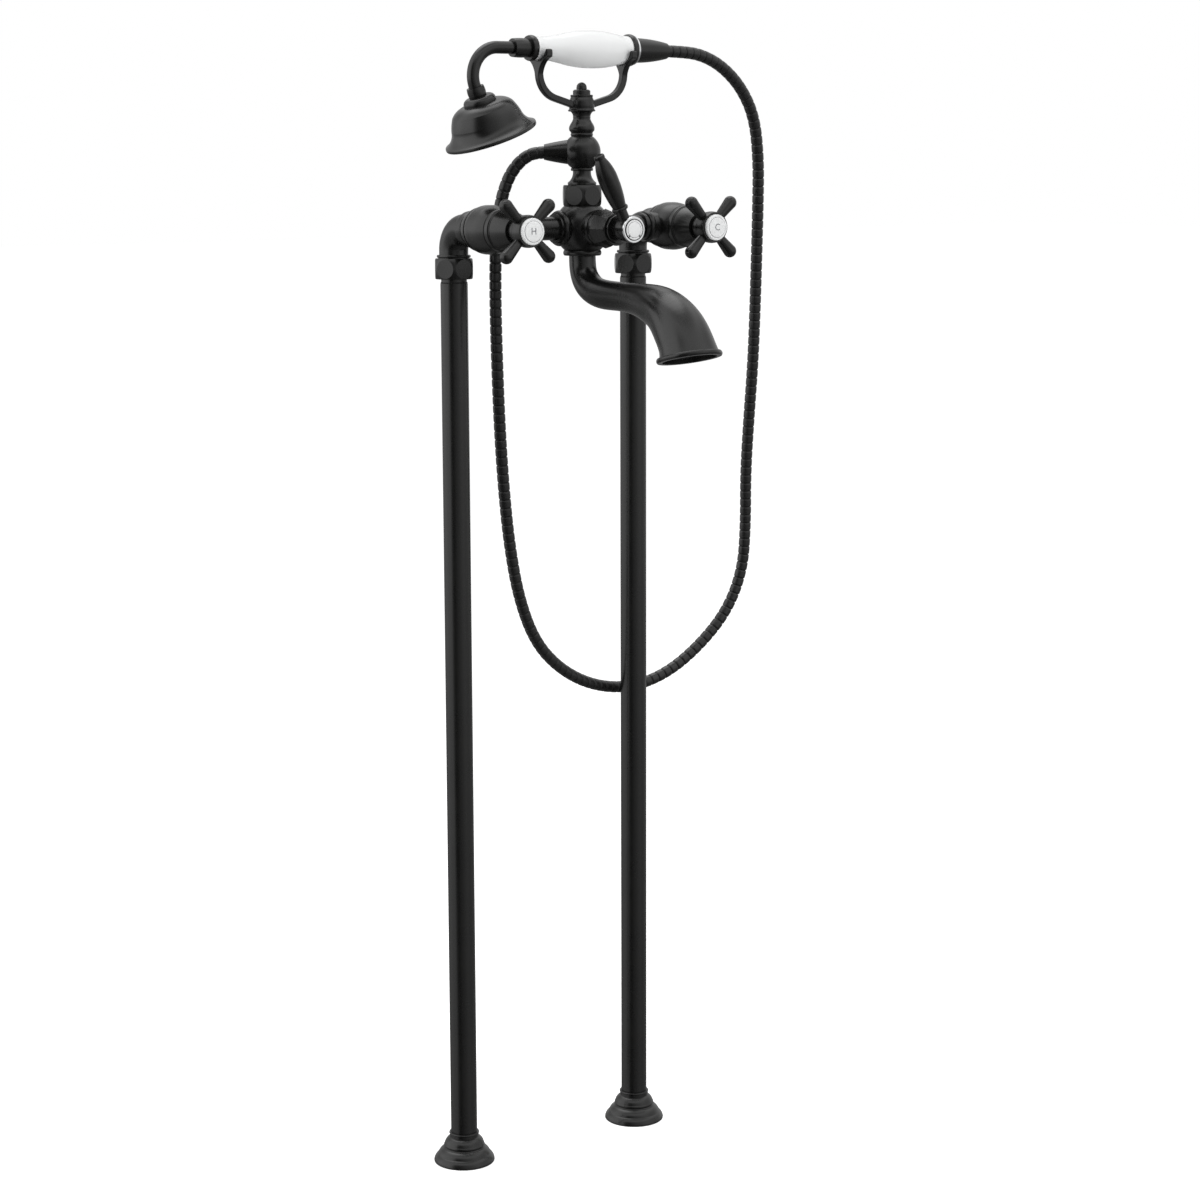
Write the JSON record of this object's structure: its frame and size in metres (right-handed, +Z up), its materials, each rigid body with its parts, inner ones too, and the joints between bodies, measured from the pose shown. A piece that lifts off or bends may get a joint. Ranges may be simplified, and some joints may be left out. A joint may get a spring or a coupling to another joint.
{
  "type": "tub filler",
  "caption": "Floor-standing bath mixer with cross handles, gooseneck spout, diverter lever and a telephone handset in a cradle on a ribbed metal hose.",
  "frame": {"origin": "on the floor, midway between the axes of the two risers", "axes": "+X from the hot riser to the cold one, front towards -Y, +Z up"},
  "size_m": [0.3954, 0.2869, 1.0775],
  "materials": {
    "black": "satin",
    "hose": "satin",
    "porcelain": "gloss",
    "chrome": "polished",
    "brass": "machined",
    "steel": "machined",
    "disc": "lapped",
    "seal": "matt"
  },
  "bodies": {
    "stand": {"hot_floor_flange": "black", "hot_riser_tube": "black", "hot_tail_piece": "black", "hot_seal_washer": "seal", "hot_coupling_nut": "black", "hot_elbow": "black", "hot_valve_body": "black", "hot_fixed_disc": "disc", "hot_bonnet": "black", "hot_bar_tube": "black", "cold_floor_flange": "black", "cold_riser_tube": "black", "cold_tail_piece": "black", "cold_seal_washer": "seal", "cold_coupling_nut": "black", "cold_elbow": "black", "cold_valve_body": "black", "cold_fixed_disc": "disc", "cold_bonnet": "black", "cold_bar_tube": "black", "mixer_body": "black", "spout": "black", "spout_collar": "black", "column_nut": "black", "shower_column": "black", "outlet_nut": "black", "cradle": "black", "finial": "black", "diverter_bonnet": "black", "diverter_gland": "black", "hose": "hose"},
    "hot_handle": {"hot_turning_disc": "disc", "hot_spindle": "brass", "hot_cross_handle": "black", "hot_handle_screw": "steel", "hot_index_button": "porcelain"},
    "cold_handle": {"cold_turning_disc": "disc", "cold_spindle": "brass", "cold_cross_handle": "black", "cold_handle_screw": "steel", "cold_index_button": "porcelain"},
    "diverter": {"diverter_spool": "brass", "lever_hub": "black", "diverter_lever": "black", "diverter_ring": "chrome", "diverter_button": "porcelain"},
    "handset": {"head_tube": "black", "head_ferrule": "black", "neck_nut": "black", "bell": "black", "spray_plate": "black", "head_collar": "black", "grip": "porcelain", "grip_tube": "brass", "hose_collar": "black", "hose_nut": "black"}
  },
  "joints": [
    {"name": "hot_handle_turn", "type": "hinge", "parent": "stand", "child": "hot_handle", "pos_m": [-0.1016, -0.12, 0.899], "axis": [0, -1, 0], "range_deg": [0, 90]},
    {"name": "cold_handle_turn", "type": "hinge", "parent": "stand", "child": "cold_handle", "pos_m": [0.1016, -0.12, 0.899], "axis": [0, 1, 0], "range_deg": [0, 90]},
    {"name": "diverter_turn", "type": "hinge", "parent": "stand", "child": "diverter", "pos_m": [0, -0.134, 0.899], "axis": [0, 1, 0], "range_deg": [0, 52.8]},
    {"name": "handset_lift", "type": "slide", "parent": "stand", "child": "handset", "axis": [0, 0, 1], "range_m": [0, 0.09], "deforming": ["hose"]}
  ]
}
